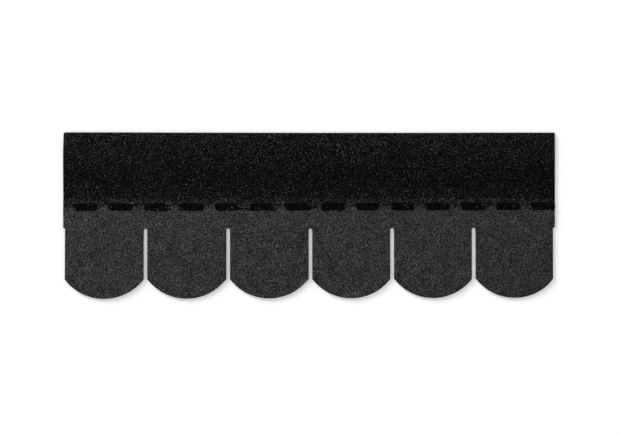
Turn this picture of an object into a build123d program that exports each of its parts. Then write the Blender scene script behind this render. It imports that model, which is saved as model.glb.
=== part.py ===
# Round-tab asphalt roofing strip, lying flat with its granule face up.
# X runs along the strip, +Y up the roof towards the headlap's top edge, +Z out of the roof.
# The origin is the middle of the strip's box, on the plane of its underside. Millimetres.

from build123d import *
import math
import os

os.makedirs("parts", exist_ok=True)

# The sheet
strip_length = 1000.0
sheet_thickness = 3.0
headlap_height = 194.0  # top edge to the tops of the slots

# The tabs and the slots between them
tab_count = 6
tab_side_length = 104.0  # straight side, from the slot's top to where the round tip starts
tip_rise = 39.0  # how far the round tip reaches below the straight sides
slot_width = 8.0

# The self-sealing dabs on the face
dash_length = 48.0
dash_width = 15.5
dash_corner = 4.0  # plan radius of a dab's corners at its foot
dash_rim_height = 0.5  # the steep rim, and how far it leans in
dash_rim_lean = 0.3
dash_crown_height = 0.4  # the low crown above the rim, and the width of its slope in plan
dash_crown_run = 2.5
dash_pitch = 71.5
first_dash_gap = 20.5  # left end of the strip to the first dab
seal_line_rise = 43.5  # tops of the slots to the middle of the line of dabs

# The release film, rolled flush into the underside behind the dabs
film_width = 25.0
film_thickness = 0.05

# Places worked out from those sizes
strip_height = headlap_height + tab_side_length + tip_rise
tab_pitch = strip_length / tab_count
tab_width = tab_pitch - slot_width
slot_radius = slot_width / 2

top_edge_y = strip_height / 2
slot_top_y = top_edge_y - headlap_height
slot_centre_y = slot_top_y - slot_radius
tip_start_y = slot_top_y - tab_side_length
tip_y = tip_start_y - tip_rise
left_end_x = -strip_length / 2
seal_line_y = slot_top_y + seal_line_rise

free_length = strip_length - first_dash_gap - dash_length
dash_count = math.floor(free_length / dash_pitch) + 1


# The strip: headlap and six tabs cut from one sheet
with BuildPart() as shingle_strip:
    with BuildSketch() as outline:
        with Locations((0, top_edge_y)):
            Rectangle(strip_length, headlap_height + slot_radius, align=(Align.CENTER, Align.MAX))

        # One tab with straight sides and a round tip, repeated along the strip
        with BuildSketch(mode=Mode.PRIVATE) as tab:
            with BuildLine():
                left_foot = (-tab_width / 2, tip_start_y)
                right_foot = (tab_width / 2, tip_start_y)
                Polyline(
                    left_foot,
                    (-tab_width / 2, slot_centre_y),
                    (tab_width / 2, slot_centre_y),
                    right_foot,
                )
                ThreePointArc(right_foot, (0, tip_y), left_foot)
            make_face()
        with GridLocations(tab_pitch, 0, tab_count, 1):
            add(tab.sketch)

        # Round tops of the slots, and of the half slot at each end
        with Locations((0, slot_centre_y)):
            with GridLocations(tab_pitch, 0, tab_count + 1, 1):
                Circle(slot_radius, mode=Mode.SUBTRACT)
    extrude(amount=sheet_thickness)

    # Seat of the release film in the underside
    with BuildSketch():
        with Locations((0, seal_line_y)):
            Rectangle(strip_length, film_width)
    extrude(amount=film_thickness, mode=Mode.SUBTRACT)

shingle_strip.part.label = "shingle_strip"
export_step(shingle_strip.part, "parts/shingle_strip.step")


# The release film fills its seat and ends flush with the underside
with BuildPart() as release_film:
    with BuildSketch():
        with Locations((0, seal_line_y)):
            Rectangle(strip_length, film_width)
    extrude(amount=film_thickness)

release_film.part.label = "release_film"
export_step(release_film.part, "parts/release_film.step")


# The dabs: pads of bitumen on the face, with round corners, a steep rim and a low crown
rim_taper = math.degrees(math.atan2(dash_rim_lean, dash_rim_height))
crown_taper = math.degrees(math.atan2(dash_crown_run, dash_crown_height))

for number in range(1, dash_count + 1):
    dash_x = left_end_x + first_dash_gap + dash_length / 2 + (number - 1) * dash_pitch
    with BuildPart() as seal_dash:
        with BuildSketch(Plane.XY.offset(sheet_thickness)):
            with Locations((dash_x, seal_line_y)):
                RectangleRounded(dash_length, dash_width, dash_corner)
        extrude(amount=dash_rim_height, taper=rim_taper)
        rim_top = seal_dash.faces().sort_by(Axis.Z)[-1]
        extrude(rim_top, amount=dash_crown_height, taper=crown_taper)

    seal_dash.part.label = f"seal_dash_{number:02d}"
    export_step(seal_dash.part, f"parts/{seal_dash.part.label}.step")
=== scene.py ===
import math

import bmesh
import bpy
import numpy as np
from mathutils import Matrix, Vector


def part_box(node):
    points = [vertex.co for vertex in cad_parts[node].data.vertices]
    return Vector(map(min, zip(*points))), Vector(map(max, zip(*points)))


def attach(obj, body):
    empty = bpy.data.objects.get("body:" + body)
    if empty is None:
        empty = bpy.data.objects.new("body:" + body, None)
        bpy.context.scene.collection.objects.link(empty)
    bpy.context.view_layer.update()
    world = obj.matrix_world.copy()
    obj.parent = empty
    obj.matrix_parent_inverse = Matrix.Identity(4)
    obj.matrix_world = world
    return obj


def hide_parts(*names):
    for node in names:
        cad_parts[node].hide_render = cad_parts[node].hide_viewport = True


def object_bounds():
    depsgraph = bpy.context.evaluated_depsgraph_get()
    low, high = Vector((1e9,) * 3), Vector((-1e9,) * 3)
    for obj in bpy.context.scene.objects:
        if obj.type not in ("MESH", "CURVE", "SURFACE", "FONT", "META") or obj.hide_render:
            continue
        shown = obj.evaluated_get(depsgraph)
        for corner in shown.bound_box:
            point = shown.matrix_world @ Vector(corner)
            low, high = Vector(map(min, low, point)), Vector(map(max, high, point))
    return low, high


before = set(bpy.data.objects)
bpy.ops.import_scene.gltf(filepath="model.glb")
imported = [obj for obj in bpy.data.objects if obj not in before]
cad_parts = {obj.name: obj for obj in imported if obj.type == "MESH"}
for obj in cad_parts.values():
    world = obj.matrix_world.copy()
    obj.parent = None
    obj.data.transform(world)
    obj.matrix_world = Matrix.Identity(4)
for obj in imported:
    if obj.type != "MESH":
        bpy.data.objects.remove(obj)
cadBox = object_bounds()
print("frame loaded")

mm = 0.001

# The strip's cut, as in the frame, and the layers that show: a bed of coating bitumen
# with the granules pressed into it
stripLow, stripHigh = (np.array(corner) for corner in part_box("shingle_strip"))
strip = {
    "tabCount": 6,
    "slotWidth": 8 * mm,
    "headlap": 194 * mm,
    "tabSide": 104 * mm,      # straight side of a tab, from the slot's top
    "meshStep": 3 * mm,
    "slotCells": 4,           # mesh cells on each quarter of a slot's round top
    "wallRows": 3,
    "bedDepth": 0.5 * mm,     # bed below the granules' tops
    "bedWave": 0.1 * mm,      # unevenness of the bed
    "bedWaveLength": 9 * mm,
    "bedSeed": 3,
    "cutWander": 0.2 * mm,    # how far the cut edge falls short, at most
    "cutWanderLength": 4 * mm,
    "cutSeed": 5,
    "wallFollow": 0.5,        # share of that wander in the wall below the edge
    "wallChips": 0.4,         # roughness that the wall has of its own, as a share of it
    "wallSeed": 7,
    "matLevel": 0.42,         # the glass mat in the cut edge, as a share of the thickness
    "rimDrop": 0.08 * mm,     # the knife presses the rim down
    "filmSeat": 0.06 * mm,    # depth of the back's seat for the release film
    "filmMargin": 3.5 * mm,   # more than a mesh step, so that the seat clears the film's edges
    # the slots as cut, in mm, from the left end's half slot to the right end's: overhang of
    # granules on the edges, cut off its place to the right, and round top below its place
    "slotFray": [0, 0.5, 0.48, 0.53, 0.26, 0.22, 0],
    "slotShift": [0, -0.26, 0.22, 0.4, -0.22, -0.5, 0],
    "slotDrop": [-0.9, 0.45, 0.1, 0.75, 0.2, 0.05, -1.2],
    "slotMargin": 1 * mm,     # points this near to a slot still count as its own
    # the edges are a little out of straight and the upper corners worn: how far they fall
    # short, in mm, at these shares of the way from the tips to the top edge, and along it
    "endShares": [0, 0.3, 0.4, 0.47, 0.51, 0.56, 0.68, 0.8, 0.9, 0.96, 0.99, 1],
    "leftShort": [0, 0.25, 0.4, 0.9, 0.55, 0.85, 0.65, 0.25, 0.25, 1, 1.2, 1.6],
    "rightShort": [0.95, 1, 0.95, 0.45, 0.95, 0.85, 0.35, 0.15, 0, 0, 0, 0.5],
    "topShares": [0, 0.004, 0.1, 0.25, 0.5, 0.78, 0.87, 0.996, 1],
    "topShort": [1.3, 0.05, 0, 0.3, 0.7, 0.5, 0.05, 0, 0.5],
    "pushReach": 12 * mm,     # how far from such an edge the sheet's mesh is squeezed for it
}
leftEnd, tipLine = stripLow[:2]
rightEnd, topEdge = stripHigh[:2]
thickness = stripHigh[2]
pitch = (rightEnd - leftEnd) / strip["tabCount"]
slotRadius = strip["slotWidth"] / 2
slotTop = topEdge - strip["headlap"]
slotCentre = slotTop - slotRadius
tipStart = slotTop - strip["tabSide"]
halfTab = pitch / 2 - slotRadius
tipRise = tipStart - tipLine
tipRadius = (halfTab**2 + tipRise**2) / (2 * tipRise)
tipCentre = tipLine + tipRadius

# The two kinds of granule, up the strip from the slots' tops (mm): share of pale ones, and
# shade of both
granuleBlend = {
    "height": [-150, -25, 5, 34, 38, 42.5, 46.6, 51, 58, 62, 74, 92, 110, 130, 160, 194],
    "paleShare": [0.92, 0.92, 0.96, 0.97, 0.88, 0.76, 0.35, 0.45, 0.34, 0.14, 0.14, 0.07, 0.08,
                  0.13, 0.18, 0.27],
    "climb": [0.46, 0.46, 0.48, 0.48, 0.46, 0.43, 0.41, 0.4, 0.4, 0.4, 0.4, 0.4, 0.4, 0.4, 0.4, 0.4],
    # painted shade along the strip: darker towards the right end, where the key light falls off
    "paintedFalloff": [(0, 0.53), (0.27, 0.53), (0.45, 0.495), (0.8, 0.48), (0.92, 0.44), (1, 0.41)],
    "plain": 0.5,             # the value in climb and in the painted shade along the strip that leaves a colour as written
    "paleStops": [(0, "050505"), (0.12, "151515"), (0.28, "282828"), (0.62, "3f3f3f"),
                  (0.87, "5a5a5a"), (1, "787878")],
    "darkStops": [(0, "000000"), (0.4, "030303"), (0.75, "0d0d0d"), (0.94, "1f1f1f"), (1, "3e3e3e")],
    "bedCell": 1.25 * mm,     # grit of the bed between the modelled granules
    "mottle": 26 * mm,        # size of the cloudy patches
    "mottleDepth": 0.18,
}


# Random numbers on a square lattice, blended by an s-curve between the four nearest, from -1 to 1
def smoothNoise(x, y, size, seed):
    side = 257                # cells before the pattern repeats
    lattice = np.random.default_rng(seed).uniform(-1, 1, (side, side))
    column, row = np.floor(x / size).astype(int), np.floor(y / size).astype(int)
    across, up = x / size - column, y / size - row
    across, up = across**2 * (3 - 2 * across), up**2 * (3 - 2 * up)
    nextColumn, nextRow, column, row = (column + 1) % side, (row + 1) % side, column % side, row % side
    low = lattice[column, row] * (1 - across) + lattice[nextColumn, row] * across
    high = lattice[column, nextRow] * (1 - across) + lattice[nextColumn, nextRow] * across
    return low * (1 - up) + high * up


# The same noise, from 0 to 1
def smoothShare(x, y, size, seed):
    return smoothNoise(x, y, size, seed) * 0.5 + 0.5


# How far the two ends fall short of straight, interpolated over the strip's height
def endShort(x, y):
    share = (y - tipLine) / (topEdge - tipLine)
    left = np.interp(share, strip["endShares"], strip["leftShort"])
    right = np.interp(share, strip["endShares"], strip["rightShort"])
    return np.where(x < 0, left, right) * mm


# How far the top edge falls short of straight, interpolated over the strip's length
def topShort(x):
    return np.interp((x - leftEnd) / (rightEnd - leftEnd), strip["topShares"], strip["topShort"]) * mm


# Distance along the strip to the nearest slot's centre line
def fromSlot(x):
    turns = (x - leftEnd) / pitch
    return np.abs(turns - np.round(turns)) * pitch


# One of the lists that say how the slots were cut, read at the slot nearest to each point
def atSlot(x, key):
    number = np.clip(np.round((x - leftEnd) / pitch), 0, strip["tabCount"]).astype(int)
    return np.array(strip[key])[number] * mm


# Lower edge of the headlap: the slots' round tops, and the level of their centres over the tabs
def headlapFoot(x):
    return slotCentre + np.sqrt(np.maximum(slotRadius**2 - fromSlot(x) ** 2, 0))


# Round tip of a tab: an arc through both ends of the straight sides
def tabTip(x):
    fromMiddle = pitch / 2 - fromSlot(x)
    return tipCentre - np.sqrt(tipRadius**2 - np.minimum(fromMiddle, halfTab) ** 2)


# How far a point lies inside the cut, as the least of its distances to the ends, the top
# edge, the slots' sides and round tops, and the tips' arcs
def insideCut(x, y):
    aside = fromSlot(x)
    ends = np.minimum(x - leftEnd, rightEnd - x) - endShort(x, y)
    overSlots = np.hypot(aside, y - slotCentre + atSlot(x, "slotDrop")) - slotRadius
    beside = np.where(y > slotCentre, overSlots, aside - slotRadius)
    toTip = tipRadius - np.hypot(pitch / 2 - aside, y - tipCentre)
    toTip = np.where(y > tipStart + tipRise, tipRise, toTip)
    return np.minimum.reduce([ends, topEdge - topShort(x) - y, beside, toTip])


# Height of the bitumen bed between the granules: a level with low waves of noise
def bedHeight(x, y):
    wave = smoothNoise(x, y, strip["bedWaveLength"], strip["bedSeed"])
    return thickness - strip["bedDepth"] + strip["bedWave"] * wave


# Share of pale granules at a place, read off the table of heights
def paleShare(y):
    return np.interp((y - slotTop) / mm, granuleBlend["height"], granuleBlend["paleShare"])


# Puts points and rings of corner numbers, all of one length within each array, into a mesh
def putMesh(name, points, rings, values=None):
    mesh = bpy.data.meshes.new(name)
    corners = np.concatenate([ring.ravel() for ring in rings]).astype(np.int32)
    counts = np.concatenate([np.full(len(ring), ring.shape[1]) for ring in rings])
    mesh.vertices.add(len(points))
    mesh.vertices.foreach_set("co", points.astype(np.float32).ravel())
    mesh.loops.add(len(corners))
    mesh.loops.foreach_set("vertex_index", corners)
    mesh.polygons.add(len(counts))
    starts = np.concatenate([[0], np.cumsum(counts)[:-1]])
    mesh.polygons.foreach_set("loop_start", starts.astype(np.int32))
    for key, value in (values or {}).items():
        mesh.attributes.new(key, "FLOAT", "POINT").data.foreach_set("value", value.astype(np.float32))
    mesh.update(calc_edges=True)
    mesh.validate()
    piece = bpy.data.objects.new(name, mesh)
    bpy.context.scene.collection.objects.link(piece)
    return piece


# Merges the points that meet at a piece's ends and rim, turns all faces outwards and smooths
def closeMesh(piece):
    tidy = bmesh.new()
    tidy.from_mesh(piece.data)
    bmesh.ops.remove_doubles(tidy, verts=tidy.verts, dist=0.001 * mm)
    bmesh.ops.recalc_face_normals(tidy, faces=tidy.faces)
    tidy.to_mesh(piece.data)
    tidy.free()
    piece.data.shade_smooth()


# Four-cornered rings of a grid of point numbers
def gridRings(numbers):
    ring = [numbers[:-1, :-1], numbers[1:, :-1], numbers[1:, 1:], numbers[:-1, 1:]]
    return np.stack([corner.ravel() for corner in ring], 1)


# sRGB hex to linear
def linear(colour):
    parts = [int(colour[i : i + 2], 16) / 255 for i in (0, 2, 4)]
    return [c / 12.92 if c <= 0.04045 else ((c + 0.055) / 1.055) ** 2.4 for c in parts] + [1]


# Adds a node, sets it up and feeds its inputs with values or other nodes' outputs
def addNode(tree, kind, settings=None, inputs=None):
    node = tree.nodes.new("ShaderNode" + kind)
    for key, value in (settings or {}).items():
        if key == "stops":
            stops = node.color_ramp.elements
            while len(stops) < len(value):
                stops.new(0.5)
            for stop, (place, colour) in zip(stops, value):
                stop.position = place
                stop.color = linear(colour) if isinstance(colour, str) else [colour] * 3 + [1]
        else:
            setattr(node, key, value)
    for key, value in (inputs or {}).items():
        if isinstance(value, bpy.types.NodeSocket):
            tree.links.new(value, node.inputs[key])
        else:
            node.inputs[key].default_value = value
    return node


# A material with an empty tree of nodes
def newMaterial(name):
    material = bpy.data.materials.new(name)
    material.use_nodes = True
    tree = material.node_tree
    tree.nodes.clear()
    return material, tree


# Joins a shader to the material's output
def finishMaterial(tree, shader):
    addNode(tree, "OutputMaterial", None, {"Surface": shader.outputs[0]})


# Camera: nearly straight above, as the outline's slight narrowing to the right shows
view = {
    "place": (-0.0386, -0.0307, 2.0),
    "turn": (0.784, -1.094, -0.078),   # degrees
    "lens": 57.15,
    "sensor": 36,
}
camera = bpy.data.objects.new("camera", bpy.data.cameras.new("camera"))
bpy.context.scene.collection.objects.link(camera)
camera.location = view["place"]
camera.rotation_euler = [math.radians(turn) for turn in view["turn"]]
camera.data.lens = view["lens"]
camera.data.sensor_width = view["sensor"]
bpy.context.scene.camera = camera
print("camera set")

# The strip's sheet: columns of points that are closer together round each slot, rows between
# the edges, the same plan above and below, and rough walls between them
quarter = np.linspace(0, math.pi / 2, strip["slotCells"] + 1)
slotColumns = slotRadius * np.sin(quarter)
tabCells = round(2 * halfTab / strip["meshStep"])
tabColumns = np.linspace(slotRadius, pitch - slotRadius, tabCells + 1)
unitColumns = np.concatenate([slotColumns[:-1], tabColumns, pitch - slotColumns[-2:0:-1]])
starts = leftEnd + pitch * np.arange(strip["tabCount"])
columns = np.append((starts[:, None] + unitColumns).ravel(), rightEnd)
headRows = round((topEdge - slotCentre) / strip["meshStep"])
tabRows = round((slotCentre - tipLine) / strip["meshStep"])

# Headlap: each column runs evenly from the headlap's foot to the top edge
up = np.linspace(0, 1, headRows + 1)
headX = np.repeat(columns[:, None], headRows + 1, 1)
headY = headlapFoot(columns)[:, None] * (1 - up) + topEdge * up
headNumbers = np.arange(headX.size).reshape(headX.shape)

# Tabs: each column runs evenly from the slots' centre level down to the round tip
down = np.linspace(0, 1, tabRows + 1)
unit = len(unitColumns)
tabFirst = strip["slotCells"] + unit * np.arange(strip["tabCount"])
tabColumn = tabFirst[:, None] + np.arange(tabCells + 1)
tabX = np.repeat(columns[tabColumn][:, :, None], tabRows + 1, 2)
tabY = slotCentre * (1 - down) + tabTip(columns[tabColumn])[:, :, None] * down
tabNumbers = headX.size + np.arange(tabX[:, :, 1:].size).reshape(tabX[:, :, 1:].shape)
tabNumbers = np.concatenate([headNumbers[tabColumn, 0][:, :, None], tabNumbers], 2)

planX = np.concatenate([headX.ravel(), tabX[:, :, 1:].ravel()])
planY = np.concatenate([headY.ravel(), tabY[:, :, 1:].ravel()])
count = len(planX)

# Once round the outline: the slots and tabs from left to right, up, back and down
slotSpan = strip["slotCells"]
loop = []
for k in range(strip["tabCount"]):
    first = k * unit
    loop += [headNumbers[first : first + slotSpan, 0], tabNumbers[k][0], tabNumbers[k][1:-1, -1]]
    loop += [tabNumbers[k][-1, ::-1], headNumbers[first + slotSpan + tabCells + 1 : first + unit, 0]]
loop += [headNumbers[-1], headNumbers[-2:0:-1, -1], headNumbers[0, :0:-1]]
loop = np.concatenate(loop)

# The points beside the ends and the top edge are pushed in by what those edges fall short,
# in full at the edge and within a half slot, and less and less over the reach
fromEnd, reach = rightEnd - np.abs(planX), strip["pushReach"]
endPush = np.clip((slotRadius + reach - fromEnd) / reach, 0, 1)
topPush = np.clip((reach - topEdge + planY) / reach, 0, 1)
pushX = -np.sign(planX) * endShort(planX, planY) * endPush
pushY = -topShort(planX) * topPush

# The cut wanders a little inwards along the outline's normal, granules overhang the slots,
# and each slot lies a little off its place. The round tops alone are moved up or down.
ahead = np.stack([planX[np.roll(loop, -1)] - planX[np.roll(loop, 1)],
                  planY[np.roll(loop, -1)] - planY[np.roll(loop, 1)]], 1)
ahead /= np.linalg.norm(ahead, axis=1)[:, None]
inward = np.stack([-ahead[:, 1], ahead[:, 0]], 1)
loopX, loopY = planX[loop], planY[loop]
inset = strip["cutWander"] * smoothShare(loopX, loopY, strip["cutWanderLength"], strip["cutSeed"])
margin = strip["slotMargin"]
nearSlot = (loopY < slotTop + margin) & (fromSlot(loopX) < slotRadius + margin)
fray, shift, drop = (np.where(nearSlot, atSlot(loopX, key), 0)
                     for key in ("slotFray", "slotShift", "slotDrop"))
drop = np.where(loopY > slotCentre - margin / 2, drop, 0)
edgeX, edgeY = planX + pushX, planY + pushY
edgeX[loop] += inward[:, 0] * (inset - fray) + shift
edgeY[loop] += inward[:, 1] * (inset - fray) - drop

topZ = bedHeight(planX, planY)
topZ[loop] -= strip["rimDrop"]
topPoints = np.stack([edgeX, edgeY, topZ], 1)
filmLow, filmHigh = (np.array(corner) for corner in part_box("release_film"))
filmMiddle, filmHalf = (filmLow[1] + filmHigh[1]) / 2, (filmHigh[1] - filmLow[1]) / 2
seated = np.abs(planY - filmMiddle) < filmHalf + strip["filmMargin"]
bottomPoints = np.stack([edgeX, edgeY, np.where(seated, strip["filmSeat"], 0)], 1)
levels = np.linspace(1, 0, strip["wallRows"] + 2)[1:-1]
wallPoints = []
for row, level in enumerate(levels):
    chips = smoothShare(loopX + row, loopY, strip["cutWanderLength"] / 2, strip["wallSeed"] + row)
    rough = inset * strip["wallFollow"] - fray + strip["cutWander"] * strip["wallChips"] * chips
    wallX = loopX + pushX[loop] + inward[:, 0] * rough + shift
    wallY = loopY + pushY[loop] + inward[:, 1] * rough - drop
    wallPoints.append(np.stack([wallX, wallY, topZ[loop] * level], 1))
wallNumbers = 2 * count + np.arange(len(levels) * len(loop)).reshape(len(levels), len(loop))
wallNumbers = np.vstack([loop, wallNumbers, loop + count])
wallNumbers = np.hstack([wallNumbers, wallNumbers[:, :1]])
faceRings = np.concatenate([gridRings(headNumbers)] + [gridRings(tab)[:, ::-1] for tab in tabNumbers])
wallRings = gridRings(wallNumbers)
sheet = putMesh("strip_sheet", np.concatenate([topPoints, bottomPoints] + wallPoints),
                [faceRings, wallRings, faceRings[:, ::-1] + count])
sheetParts = np.repeat([0, 1, 2], [len(faceRings), len(wallRings), len(faceRings)])
sheet.data.polygons.foreach_set("material_index", sheetParts.astype(np.int32))
print("sheet made", len(sheet.data.polygons))

# The sealing dabs, each in the place of its node. A wheel lays them hot: the upper side is
# clean, the lower side wanders, and both ends lean.
dabs = {
    "count": 14,
    "columns": 48,
    "rows": 18,
    "endPower": 12,           # squareness of the ends in plan
    "closing": 1 / 3,         # power of their closing, the lower the blunter
    "rimPower": 10,           # steepness of the rim along the sides
    "domePower": 24,          # steepness of the rim at the ends
    # dab by dab, in mm: start off its place, length, lower corner behind, upper corner short
    "startShift": [-0.1, -0.3, 0.7, -0.2, 0.5, 0, -0.1, 0.4, 0.1, 0.6, 0.3, 0.1, 0.5, 0.5],
    "lengths": [48.8, 48.1, 46.9, 49.1, 46.6, 46.4, 50.2, 48.6, 47.3, 46.9, 47.4, 47.9, 49.2, 49.4],
    "startLean": [1.6, 2, 0.3, -1, 1.5, -1.5, 3.5, 0.5, 3, 0.3, -1, 4, 0.2, 5],
    "endLean": [1, 0.3, 2, 2.5, 1.5, 1, 6, 3, -4, 0.2, 0.3, 7, 0.5, 0.1],
    "endReach": 4,            # the higher, the nearer to the ends their lean and wander stay
    "grow": 0.3 * mm,         # laid this much fuller than the node, all round
    "rowSkew": 0.0011,        # the row climbs a little to the right
    "rowDrop": 0.1 * mm,
    "upperWander": 0.25 * mm,
    "lowerWander": 0.8 * mm,
    "wanderLength": 8 * mm,
    "sideSeed": 40,
    "fineTimes": 3,           # a second wander is this many times finer
    "fineShare": 0.4,
    "fineSeed": 50,
    "endWander": 1.1 * mm,
    "endWanderLength": 3 * mm,
    "endSeed": 20,
    "noiseApart": 50 * mm,    # keeps the noise of opposite sides and ends apart
    "sink": 0.15 * mm,        # rim below the bed's surface
    "headroom": 0.15 * mm,    # crown below the node's, which leaves room for stuck granules
    "ripple": 0.06 * mm,
    "rippleLength": 4 * mm,
    "rippleSeed": 60,
}


# Middle and half size of a dab as it was laid, a little off its node's box
def dabPlan(number, low, high):
    middle, half = (low + high) / 2, (high - low) / 2 + dabs["grow"]
    half[0] = dabs["lengths"][number - 1] / 2 * mm + dabs["grow"]
    middle[0] = low[0] + dabs["startShift"][number - 1] * mm + half[0] - dabs["grow"]
    middle[1] += dabs["rowSkew"] * middle[0] - dabs["rowDrop"]
    return middle, half


# Shift along the strip of a dab's point: the ends lean, each by its own amount, and the lean
# dies away towards the middle as a power of the distance
def dabLean(number, along, across):
    nearStart, nearEnd = ((1 - along) / 2) ** dabs["endReach"], ((1 + along) / 2) ** dabs["endReach"]
    lean = dabs["startLean"][number - 1] * nearStart + dabs["endLean"][number - 1] * nearEnd
    return -across / 2 * lean * mm


# Outline test of a dab: below 1 inside its rounded, leaning rectangle
def dabReach(x, y, number, middle, half):
    along, across = (x - middle[0]) / half[0], (y - middle[1]) / half[1]
    along = along - dabLean(number, np.clip(along, -1, 1), np.clip(across, -1, 1)) / half[0]
    return np.abs(along) ** dabs["endPower"] + np.abs(across) ** dabs["rimPower"]


# A dab: across the grid y runs between two wandering sides that close at the ends as a
# superellipse, and the height is a flat-topped dome with a fine ripple
def makeDab(number, middle, half, crown):
    turnX = np.sin(np.linspace(-1, 1, dabs["columns"] + 1) * math.pi / 2)
    turnY = np.sin(np.linspace(-1, 1, dabs["rows"] + 1) * math.pi / 2)
    along, across = np.meshgrid(turnX, turnY, indexing="ij")
    width = (1 - np.abs(along) ** dabs["endPower"]) ** dabs["closing"]
    whichSide, whichEnd = np.sign(across) * dabs["noiseApart"], np.sign(along) * dabs["noiseApart"]
    x = middle[0] + along * half[0] + dabLean(number, along, across)
    x += along * np.abs(along) ** dabs["endReach"] * dabs["endWander"] * smoothNoise(
        across * half[1], whichEnd, dabs["endWanderLength"], dabs["endSeed"] + number)
    wander = np.where(across < 0, dabs["lowerWander"], dabs["upperWander"])
    coarse = smoothNoise(x, whichSide, dabs["wanderLength"], dabs["sideSeed"] + number)
    fineLength = dabs["wanderLength"] / dabs["fineTimes"]
    fine = smoothNoise(x, whichSide, fineLength, dabs["fineSeed"] + number)
    side = wander * (coarse + dabs["fineShare"] * fine)
    y = middle[1] + across * width * (half[1] + side)
    x = np.clip(x, leftEnd, rightEnd)
    dome = np.sqrt(np.maximum(1 - np.abs(across) ** dabs["rimPower"], 0))
    dome = dome * np.sqrt(1 - np.abs(along) ** dabs["domePower"])
    base = bedHeight(x, y) - dabs["sink"]
    rise = crown - dabs["headroom"] - dabs["ripple"] - base
    ripple = dabs["ripple"] * smoothNoise(x, y, dabs["rippleLength"], dabs["rippleSeed"] + number)
    top = base + (rise + ripple) * dome
    under = base - dabs["sink"] * dome
    points = np.concatenate([np.stack([x, y, z], -1).reshape(-1, 3) for z in (top, under)])
    rings = gridRings(np.arange(x.size).reshape(x.shape))
    piece = putMesh(f"sealing_dab_{number:02d}", points, [rings, rings[:, ::-1] + x.size])
    closeMesh(piece)
    return piece


dabPieces, dabPlans = [], []
for number in range(1, dabs["count"] + 1):
    low, high = (np.array(corner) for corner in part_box(f"seal_dash_{number:02d}"))
    dabPlans.append(dabPlan(number, low, high))
    dabPieces.append(makeDab(number, *dabPlans[-1], high[2]))
print("dabs made", len(dabPieces))

# Threads of bitumen that the wheel drew out between dabs: the dab and the places in it, in
# half sizes from its middle, where a thread starts and ends
threads = {
    "routes": [(3, (0.6, -0.65), (1.35, -0.55)), (5, (0.6, -0.4), (1.35, -0.45)),
               (6, (-1.8, -0.5), (-0.25, -0.85)), (6, (0.4, -0.8), (1.4, -0.6)),
               (7, (0.6, -0.35), (1.35, -0.25)), (7, (1.3, -0.15), (1.6, 0)),
               (2, (0.5, 0.45), (1.35, 0.5)), (11, (1.25, 0.5), (1.6, 0.45))],
    "halfWidth": 1.8 * mm,
    "halfHeight": 0.5 * mm,
    "level": 0.05 * mm,       # middle of a thread, from the granules' tops
    "bow": 0.4 * mm,
    "taper": 0.4,             # the lower, the later the ends thin out
    "lumps": 6,               # cells of noise along a thread
    "lumpDepth": 0.25,
    "lumpSeed": 80,
    "steps": 20,
    "sides": 10,
}


# A thread: an ellipse carried along a line with one sine wave's bow, its size a power of a
# parabola over the length, so that it thins to a point at both ends, with lumps of noise
def makeThread(index, start, end):
    along = np.linspace(0, 1, threads["steps"] + 1)[:, None]
    around = np.linspace(0, 2 * math.pi, threads["sides"], endpoint=False)
    lumps = smoothNoise(along * threads["lumps"], np.full(along.shape, index), 1, threads["lumpSeed"])
    size = (4 * along * (1 - along)) ** threads["taper"] * (1 + threads["lumpDepth"] * lumps)
    line = start + (end - start) * along
    ahead = (end - start) / np.linalg.norm(end - start)
    bow = threads["bow"] * np.sin(along * math.pi * 2)
    across = bow + threads["halfWidth"] * size * np.cos(around)
    x, y = line[:, :1] - ahead[1] * across, line[:, 1:] + ahead[0] * across
    z = thickness + threads["level"] + threads["halfHeight"] * size * np.sin(around)
    numbers = np.arange(x.size).reshape(x.shape)
    return np.stack([x, y, z], -1).reshape(-1, 3), gridRings(np.hstack([numbers, numbers[:, :1]]))


threadPoints, threadRings, used = [], [], 0
for index, (number, start, end) in enumerate(threads["routes"]):
    middle, half = dabPlans[number - 1]
    places = [middle[:2] + half[:2] * place for place in (start, end)]
    points, rings = makeThread(index, *places)
    threadPoints.append(points)
    threadRings.append(rings + used)
    used += len(points)
threadPiece = putMesh("sealing_threads", np.concatenate(threadPoints), threadRings)
closeMesh(threadPiece)
print("threads made", len(threadRings))

# The granules: crushed stones of three to five sides, on a shaken lattice over the cut
granules = {
    "spacing": 2.2 * mm,
    "shake": 0.46,
    "halfSize": (0.45, 0.95),  # mm
    "edgeGap": 0.55 * mm,
    "sunk": 0.25 * mm,        # foot of a stone below the bed
    "rise": (0.18, 0.5),      # mm, stone above the bed
    "crest": (0.55, 1),       # share of that rise at each corner
    "stretch": (0.65, 1),     # a stone's width as a share of its length
    "narrowing": (0.45, 0.85),
    "cornerShake": 0.35,      # radians, at a stone of four sides
    "sides": [3, 4, 5],
    "sideShare": [0.35, 0.55, 0.1],
    "seed": 11,
    "zoneSeed": 100,
}


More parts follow.
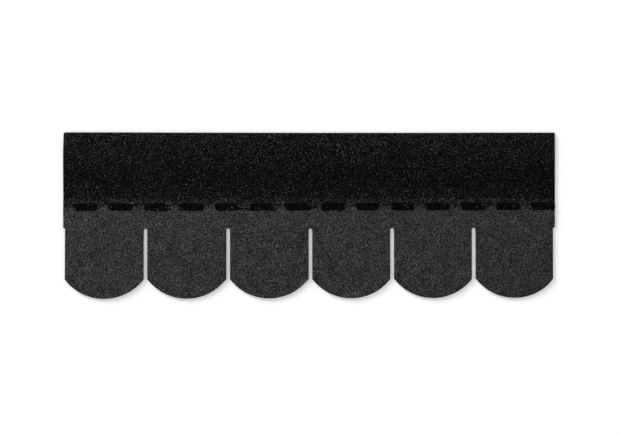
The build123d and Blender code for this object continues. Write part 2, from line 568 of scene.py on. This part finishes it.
# A stone: a ring of corners at its foot and a smaller one at its top, both shaken, with
# the top's corners at uneven heights above the ground, none over the ceiling
def makeStones(name, x, y, pale, tone, seed, ground, ceiling, size):
    rng = np.random.default_rng(seed)
    sideCounts = rng.choice(granules["sides"], len(x), p=granules["sideShare"])
    points, rings, tones, pales, first = [], [], [], [], 0
    for sides in granules["sides"]:
        chosen = sideCounts == sides
        n = chosen.sum()
        turn = 2 * math.pi * (np.arange(sides) / sides + rng.uniform(0, 1, (n, 1)))
        shake = rng.uniform(-granules["cornerShake"], granules["cornerShake"], (n, sides))
        turn = turn + shake * 4 / sides
        half = rng.uniform(*size, (n, 1)) * mm
        stretch, way = rng.uniform(*granules["stretch"], (n, 1)), rng.uniform(0, math.pi, (n, 1))
        outX, outY = half * np.cos(turn), half * stretch * np.sin(turn)
        outX, outY = outX * np.cos(way) - outY * np.sin(way), outX * np.sin(way) + outY * np.cos(way)
        narrow = rng.uniform(*granules["narrowing"], (n, sides))
        middleX, middleY = x[chosen][:, None], y[chosen][:, None]
        level = ground[chosen][:, None]
        rise = rng.uniform(*granules["rise"], (n, 1)) * rng.uniform(*granules["crest"], (n, sides))
        crest = np.minimum(level + rise * mm, ceiling)
        sole = np.repeat(level - granules["sunk"], sides, 1)
        foot = np.stack([middleX + outX, middleY + outY, sole], 2)
        top = np.stack([middleX + outX * narrow, middleY + outY * narrow, crest], 2)
        points.append(np.concatenate([foot, top], 1).reshape(-1, 3))
        corner = first + np.arange(n)[:, None] * 2 * sides + np.arange(sides)
        after = np.roll(corner, -1, 1)
        rings.append(np.stack([corner, after, after + sides, corner + sides], 2).reshape(-1, 4))
        rings += [corner[:, ::-1], corner + sides]
        tones.append(np.repeat(tone[chosen], 2 * sides))
        pales.append(np.repeat(pale[chosen], 2 * sides))
        first += n * 2 * sides
    points = np.concatenate(points)
    points[:, 0] = np.clip(points[:, 0], leftEnd, rightEnd)
    points[:, 1] = np.clip(points[:, 1], tipLine, topEdge)
    return putMesh(name, points, rings, {"tone": np.concatenate(tones), "pale": np.concatenate(pales)})


rng = np.random.default_rng(granules["seed"])
spacing = granules["spacing"]
gridX, gridY = np.meshgrid(np.arange(leftEnd, rightEnd, spacing), np.arange(tipLine, topEdge, spacing))
gridX, gridY = gridX.ravel(), gridY.ravel()
gridX = gridX + spacing * (0.5 + rng.uniform(-granules["shake"], granules["shake"], gridX.size))
gridY = gridY + spacing * (0.5 + rng.uniform(-granules["shake"], granules["shake"], gridY.size))
kept = insideCut(gridX, gridY) > granules["edgeGap"]
for number, (middle, half) in enumerate(dabPlans, 1):
    kept &= dabReach(gridX, gridY, number, middle, half) > 1
gridX, gridY = gridX[kept], gridY[kept]
stoneTone = rng.uniform(0, 1, gridX.size)
stonePale = (rng.uniform(0, 1, gridX.size) < paleShare(gridY)).astype(float)

# Six pieces, so that none is over the limit on triangles: two tabs' length of headlap or tabs
bands = {"headlap": gridY > slotCentre, "tab": gridY <= slotCentre}
thirds = {"left": gridX < leftEnd + 2 * pitch, "middle": np.abs(gridX) <= pitch,
          "right": gridX > rightEnd - 2 * pitch}
zones = {f"{band}_granules_{third}": bands[band] & thirds[third] for band in bands for third in thirds}
stonePieces = []
for index, (name, zone) in enumerate(zones.items()):
    x, y = gridX[zone], gridY[zone]
    stones = makeStones(name, x, y, stonePale[zone], stoneTone[zone], granules["zoneSeed"] + index,
                        bedHeight(x, y), thickness, granules["halfSize"])
    stonePieces.append(stones)

# Pale granules stuck on the dabs while they were hot: the dab, and the place in half sizes
stuck = {
    "places": [(1, -0.8, -0.55), (1, -0.77, -0.65), (1, 0.28, 0.6), (2, -0.77, 0), (2, 0.88, 0.93),
               (2, 1, 0.92), (2, 1.1, 0.93), (3, 0.12, -0.68), (3, 0.85, -0.1), (3, 0.93, 0.93),
               (4, -0.35, -0.5), (4, -0.77, -0.35), (5, 0.1, -0.75), (5, 0.18, -0.6), (5, 0.45, -0.15),
               (5, 0.52, -0.3), (5, 0.93, 0.2), (6, -0.5, -0.45), (6, -0.26, -0.45), (6, -0.18, -0.4),
               (8, -0.5, -0.25), (10, 0.1, 0.5), (10, 0.2, 0.3), (10, 0.3, 0.15), (10, 0.45, -0.2),
               (11, 0.6, 0.6), (12, 0.35, -0.2), (12, 0.8, 0.3), (13, 0.43, -0.1), (14, 0.35, 0.3)],
    "halfSize": (1.1, 1.5),   # mm
    "sunk": 0.15 * mm,        # ground of a stuck granule below the crown
    "tone": (0.96, 1),
    "seed": 120,
}
stuckSpots = [dabPlans[number - 1][0][:2] + dabPlans[number - 1][1][:2] * (along, across)
              for number, along, across in stuck["places"]]
stuckX, stuckY = np.array(stuckSpots).T
stuckTone = rng.uniform(*stuck["tone"], len(stuckX))
stuckGround = np.full(len(stuckX), cadBox[1][2] - dabs["headroom"] - stuck["sunk"])
stonePieces.append(makeStones("stuck_granules", stuckX, stuckY, np.ones(len(stuckX)), stuckTone,
                              stuck["seed"], stuckGround, cadBox[1][2], stuck["halfSize"]))
print("granules made", len(gridX), [len(piece.data.polygons) for piece in stonePieces])

# Sizes of the patterns in the finishes
grain = {
    "pit": 0.5 * mm,          # pits in a granule's ceramic coat
    "fibre": 1.2 * mm,        # bundles of glass fibre in the cut edge
    "sand": 0.7 * mm,         # sand on the back, drawn coarser than it is, to show
    "dust": 60 * mm,          # clouds of talc on the back
    "wrinkle": 4 * mm,        # wrinkles in the skin of the sealing bitumen
    "crease": 18 * mm,        # length of the film's creases
    "creaseSlimness": 4,      # that length to a crease's width
}


# A value that goes with the height up the strip, read off the table of heights as a ramp
def upStrip(tree, place, values):
    marks = granuleBlend["height"]
    height = addNode(tree, "SeparateXYZ", None, {"Vector": place}).outputs["Y"]
    height = addNode(tree, "MapRange", None, {"Value": height, "From Min": slotTop + marks[0] * mm,
                                              "From Max": slotTop + marks[-1] * mm})
    stops = [((mark - marks[0]) / (marks[-1] - marks[0]), value) for mark, value in zip(marks, values)]
    return addNode(tree, "ValToRGB", {"stops": stops}, {"Fac": height.outputs[0]}).outputs[0]


# Colour of granules from a tone and a kind, both from 0 to 1, with cloudy patches, the strip's own
# shade up it, and painted shade along it, darker towards the right end where the key light falls off
def granuleColour(tree, place, tone, pale):
    paleRamp = addNode(tree, "ValToRGB", {"stops": granuleBlend["paleStops"]}, {"Fac": tone})
    darkRamp = addNode(tree, "ValToRGB", {"stops": granuleBlend["darkStops"]}, {"Fac": tone})
    either = addNode(tree, "Mix", {"data_type": "RGBA"},
                     {0: pale, 6: darkRamp.outputs[0], 7: paleRamp.outputs[0]})
    cloud = addNode(tree, "TexNoise", None, {"Vector": place, "Scale": 1 / granuleBlend["mottle"],
                                             "Detail": 2.0})
    depth = granuleBlend["mottleDepth"]
    patch = addNode(tree, "MapRange", None, {"Value": cloud.outputs[0], "From Min": 0.3,
                                            "From Max": 0.7, "To Min": 1 - depth, "To Max": 1 + depth})
    # painted shade along the strip: lighter at the left end, darker towards the right end where the key
    # light falls off
    along = addNode(tree, "SeparateXYZ", None, {"Vector": place}).outputs["X"]
    along = addNode(tree, "MapRange", None, {"Value": along, "From Min": leftEnd, "From Max": rightEnd})
    paintedFalloff = addNode(tree, "ValToRGB", {"stops": granuleBlend["paintedFalloff"]}, {"Fac": along.outputs[0]})
    shade = addNode(tree, "Math", {"operation": "MULTIPLY"}, {0: patch.outputs[0], 1: paintedFalloff.outputs[0]})
    climb = upStrip(tree, place, granuleBlend["climb"])
    shade = addNode(tree, "Math", {"operation": "MULTIPLY"}, {0: shade.outputs[0], 1: climb})
    shade = addNode(tree, "Math", {"operation": "MULTIPLY"},
                    {0: shade.outputs[0], 1: 1 / granuleBlend["plain"] ** 2})
    return addNode(tree, "VectorMath", {"operation": "SCALE"},
                   {0: either.outputs[2], "Scale": shade.outputs[0]})


# Crushed basalt granules with a fired ceramic coat: matt, dark, a faint glint on a facet
def granuleMaterial():
    material, tree = newMaterial("ceramic_coated_granules")
    place = addNode(tree, "TexCoord").outputs["Object"]
    tone = addNode(tree, "Attribute", {"attribute_name": "tone"}).outputs["Fac"]
    pale = addNode(tree, "Attribute", {"attribute_name": "pale"}).outputs["Fac"]
    colour = granuleColour(tree, place, tone, pale)
    pits = addNode(tree, "TexNoise", None, {"Vector": place, "Scale": 1 / grain["pit"], "Detail": 2.0})
    bump = addNode(tree, "Bump", None, {"Height": pits.outputs[0], "Strength": 0.4,
                                        "Distance": 0.15 * mm})
    shader = addNode(tree, "BsdfPrincipled", None, {
        "Base Color": colour.outputs[0], "Roughness": 0.65, "Specular IOR Level": 0.05,
        "Normal": bump.outputs[0]})
    finishMaterial(tree, shader)
    return material


# The bed between them: finer granules shown as cells, with black bitumen in the joints
def bedMaterial():
    material, tree = newMaterial("granules_in_bitumen")
    place = addNode(tree, "TexCoord").outputs["Object"]
    cells = addNode(tree, "TexVoronoi", None, {"Vector": place, "Scale": 1 / granuleBlend["bedCell"]})
    cellParts = addNode(tree, "SeparateColor", None, {"Color": cells.outputs["Color"]})
    share = upStrip(tree, place, granuleBlend["paleShare"])
    pale = addNode(tree, "Math", {"operation": "LESS_THAN"}, {0: cellParts.outputs[1], 1: share})
    colour = granuleColour(tree, place, cellParts.outputs[0], pale.outputs[0])
    joint = addNode(tree, "MapRange", None, {"Value": cells.outputs["Distance"], "From Min": 0.45,
                                             "From Max": 0.75, "To Min": 1.0, "To Max": 0.35})
    shaded = addNode(tree, "VectorMath", {"operation": "SCALE"},
                     {0: colour.outputs[0], "Scale": joint.outputs[0]})
    bump = addNode(tree, "Bump", {"invert": True}, {"Height": cells.outputs["Distance"],
                                                    "Strength": 0.8, "Distance": 0.5 * mm})
    shader = addNode(tree, "BsdfPrincipled", None, {
        "Base Color": shaded.outputs[0], "Roughness": 0.7, "Specular IOR Level": 0.03,
        "Normal": bump.outputs[0]})
    finishMaterial(tree, shader)
    return material


# Knife-cut oxidised bitumen: black, a little shiny, with the pale glass mat as a broken line
def cutEdgeMaterial():
    material, tree = newMaterial("cut_bitumen_and_glass_mat")
    place = addNode(tree, "TexCoord").outputs["Object"]
    height = addNode(tree, "SeparateXYZ", None, {"Vector": place}).outputs["Z"]
    matHeight = thickness * strip["matLevel"]
    away = addNode(tree, "Math", {"operation": "SUBTRACT"}, {0: height, 1: matHeight})
    away = addNode(tree, "Math", {"operation": "ABSOLUTE"}, {0: away.outputs[0]})
    line = addNode(tree, "MapRange", None, {"Value": away.outputs[0], "From Min": 0.2 * mm,
                                            "From Max": 0.45 * mm, "To Min": 1.0, "To Max": 0.0})
    fibres = addNode(tree, "TexNoise", None, {"Vector": place, "Scale": 1 / grain["fibre"],
                                              "Detail": 3.0})
    broken = addNode(tree, "MapRange", None, {"Value": fibres.outputs[0], "From Min": 0.48,
                                              "From Max": 0.62})
    mat = addNode(tree, "Math", {"operation": "MULTIPLY"}, {0: line.outputs[0], 1: broken.outputs[0]})
    colour = addNode(tree, "ValToRGB", {"stops": [(0, "0e0e0e"), (1, "6a665c")]},
                     {"Fac": mat.outputs[0]})
    bump = addNode(tree, "Bump", None, {"Height": fibres.outputs[0], "Strength": 0.6,
                                        "Distance": 0.3 * mm})
    shader = addNode(tree, "BsdfPrincipled", None, {
        "Base Color": colour.outputs[0], "Roughness": 0.5, "Specular IOR Level": 0.3,
        "Normal": bump.outputs[0]})
    finishMaterial(tree, shader)
    return material


# Back of the sheet: bitumen dusted with fine sand and talc, matt and clouded, with grains
# coarse enough to show
def sandedBackMaterial():
    material, tree = newMaterial("sanded_back")
    place = addNode(tree, "TexCoord").outputs["Object"]
    grains = addNode(tree, "TexVoronoi", None, {"Vector": place, "Scale": 1 / grain["sand"]})
    grainTone = addNode(tree, "SeparateColor", None, {"Color": grains.outputs["Color"]}).outputs[0]
    dust = addNode(tree, "TexNoise", None, {"Vector": place, "Scale": 1 / grain["dust"],
                                            "Detail": 6.0, "Roughness": 0.7})
    tone = addNode(tree, "Math", {"operation": "MULTIPLY"}, {0: grainTone, 1: dust.outputs[0]})
    colour = addNode(tree, "ValToRGB", {"stops": [(0, "161615"), (0.35, "2c2b29"), (0.7, "5b5850")]},
                     {"Fac": tone.outputs[0]})
    bump = addNode(tree, "Bump", {"invert": True}, {"Height": grains.outputs["Distance"],
                                                    "Strength": 0.5, "Distance": 0.25 * mm})
    shader = addNode(tree, "BsdfPrincipled", None, {
        "Base Color": colour.outputs[0], "Roughness": 0.85, "Specular IOR Level": 0.2,
        "Normal": bump.outputs[0]})
    finishMaterial(tree, shader)
    return material


# Modified sealing bitumen, laid hot: black, smooth, a soft gloss with shallow wrinkles
def sealingMaterial():
    material, tree = newMaterial("sealing_bitumen")
    place = addNode(tree, "TexCoord").outputs["Object"]
    skin = addNode(tree, "TexNoise", None, {"Vector": place, "Scale": 1 / grain["wrinkle"],
                                            "Detail": 3.0})
    colour = addNode(tree, "ValToRGB", {"stops": [(0.38, "010101"), (0.54, "070707"), (0.7, "181818")]},
                     {"Fac": skin.outputs[0]})
    rough = addNode(tree, "MapRange", None, {"Value": skin.outputs[0], "From Min": 0.3, "From Max": 0.7,
                                             "To Min": 0.35, "To Max": 0.5})
    bump = addNode(tree, "Bump", None, {"Height": skin.outputs[0], "Strength": 0.3,
                                        "Distance": 0.5 * mm})
    shader = addNode(tree, "BsdfPrincipled", None, {
        "Base Color": colour.outputs[0], "Roughness": rough.outputs[0], "Specular IOR Level": 0.035,
        "Normal": bump.outputs[0]})
    finishMaterial(tree, shader)
    return material


# Siliconised polyester film over black bitumen: milky grey, glossy, with fine creases that
# run along the strip
def filmMaterial():
    material, tree = newMaterial("siliconised_film")
    place = addNode(tree, "TexCoord").outputs["Object"]
    stretched = addNode(tree, "Mapping", None, {"Vector": place,
                                                "Scale": (1, grain["creaseSlimness"], 1)})
    crease = addNode(tree, "TexNoise", None, {"Vector": stretched.outputs[0],
                                              "Scale": 1 / grain["crease"], "Detail": 4.0})
    colour = addNode(tree, "ValToRGB", {"stops": [(0.3, "767a7a"), (0.7, "a4a8a7")]},
                     {"Fac": crease.outputs[0]})
    bump = addNode(tree, "Bump", None, {"Height": crease.outputs[0], "Strength": 0.4,
                                        "Distance": 0.6 * mm})
    shader = addNode(tree, "BsdfPrincipled", None, {
        "Base Color": colour.outputs[0], "Roughness": 0.28, "Normal": bump.outputs[0]})
    finishMaterial(tree, shader)
    return material


granuleFinish = granuleMaterial()
sealing = sealingMaterial()
for material in (bedMaterial(), cutEdgeMaterial(), sandedBackMaterial()):
    sheet.data.materials.append(material)
for piece in stonePieces:
    piece.data.materials.append(granuleFinish)
for piece in dabPieces + [threadPiece]:
    piece.data.materials.append(sealing)
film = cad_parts["release_film"]
film.data.materials.clear()
film.data.materials.append(filmMaterial())
print("materials set")

for piece in [sheet] + stonePieces:
    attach(piece, "root")
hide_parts("shingle_strip")
for number, piece in enumerate(dabPieces, 1):
    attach(piece, "root")
    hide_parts(f"seal_dash_{number:02d}")
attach(threadPiece, "root")

# White floor: lit plainly, and lifted a little to pure white where the camera or a mirror sees it
floorPlan = {"half": 6.0, "drop": 0.1 * mm, "colour": "f6f6f6", "lift": 0.112}
half, level = floorPlan["half"], -floorPlan["drop"]
floorCorners = np.array([[-half, -half, level], [half, -half, level], [half, half, level],
                         [-half, half, level]])
floor = putMesh("floor", floorCorners, [np.array([[0, 1, 2, 3]])])
material, tree = newMaterial("white_floor")
diffuse = addNode(tree, "BsdfDiffuse", None, {"Color": linear(floorPlan["colour"])})
rays = addNode(tree, "LightPath").outputs
seen = addNode(tree, "Math", {"operation": "MAXIMUM"},
               {0: rays["Is Camera Ray"], 1: rays["Is Glossy Ray"]})
seen = addNode(tree, "Math", {"operation": "MAXIMUM"},
               {0: seen.outputs[0], 1: rays["Is Transmission Ray"]})
lift = addNode(tree, "Math", {"operation": "MULTIPLY"}, {0: seen.outputs[0], 1: floorPlan["lift"]})
glow = addNode(tree, "Emission", None, {"Color": (1, 1, 1, 1), "Strength": lift.outputs[0]})
finishMaterial(tree, addNode(tree, "AddShader", None, {0: diffuse.outputs[0], 1: glow.outputs[0]}))
floor.data.materials.append(material)

# Light: a pale surround that is dimmer overhead, and a broad soft key light, low and to the
# upper left. The world is plain white where the camera sees it.
light = {
    "horizon": 1.42,
    "zenith": 0.1,
    "dimFrom": 0.3,           # height on the unit sphere where the dimming starts
    "keyAzimuth": 136,        # degrees from +X towards +Y
    "keyElevation": 11.7,
    "keySpread": 18,
    "keyStrength": 4.3,
}
world = bpy.data.worlds.new("studio")
bpy.context.scene.world = world
world.use_nodes = True
tree = world.node_tree
tree.nodes.clear()
direction = addNode(tree, "TexCoord").outputs["Generated"]
upwards = addNode(tree, "SeparateXYZ", None, {"Vector": direction}).outputs["Z"]
dome = addNode(tree, "MapRange", None, {"Value": upwards, "From Min": light["dimFrom"], "From Max": 1.0,
                                        "To Min": light["horizon"], "To Max": light["zenith"]})
seen = addNode(tree, "LightPath").outputs["Is Camera Ray"]
strength = addNode(tree, "Mix", None, {0: seen, 2: dome.outputs[0], 3: 1.0})
sky = addNode(tree, "Background", None, {"Color": (1, 1, 1, 1), "Strength": strength.outputs[0]})
addNode(tree, "OutputWorld", None, {"Surface": sky.outputs[0]})

key = bpy.data.objects.new("key_light", bpy.data.lights.new("key_light", "SUN"))
bpy.context.scene.collection.objects.link(key)
key.data.angle = math.radians(light["keySpread"])
key.data.energy = light["keyStrength"]
key.rotation_euler = (0, math.radians(90 - light["keyElevation"]), math.radians(light["keyAzimuth"]))

bpy.context.scene.view_settings.view_transform = "Standard"
print("stage and light set")
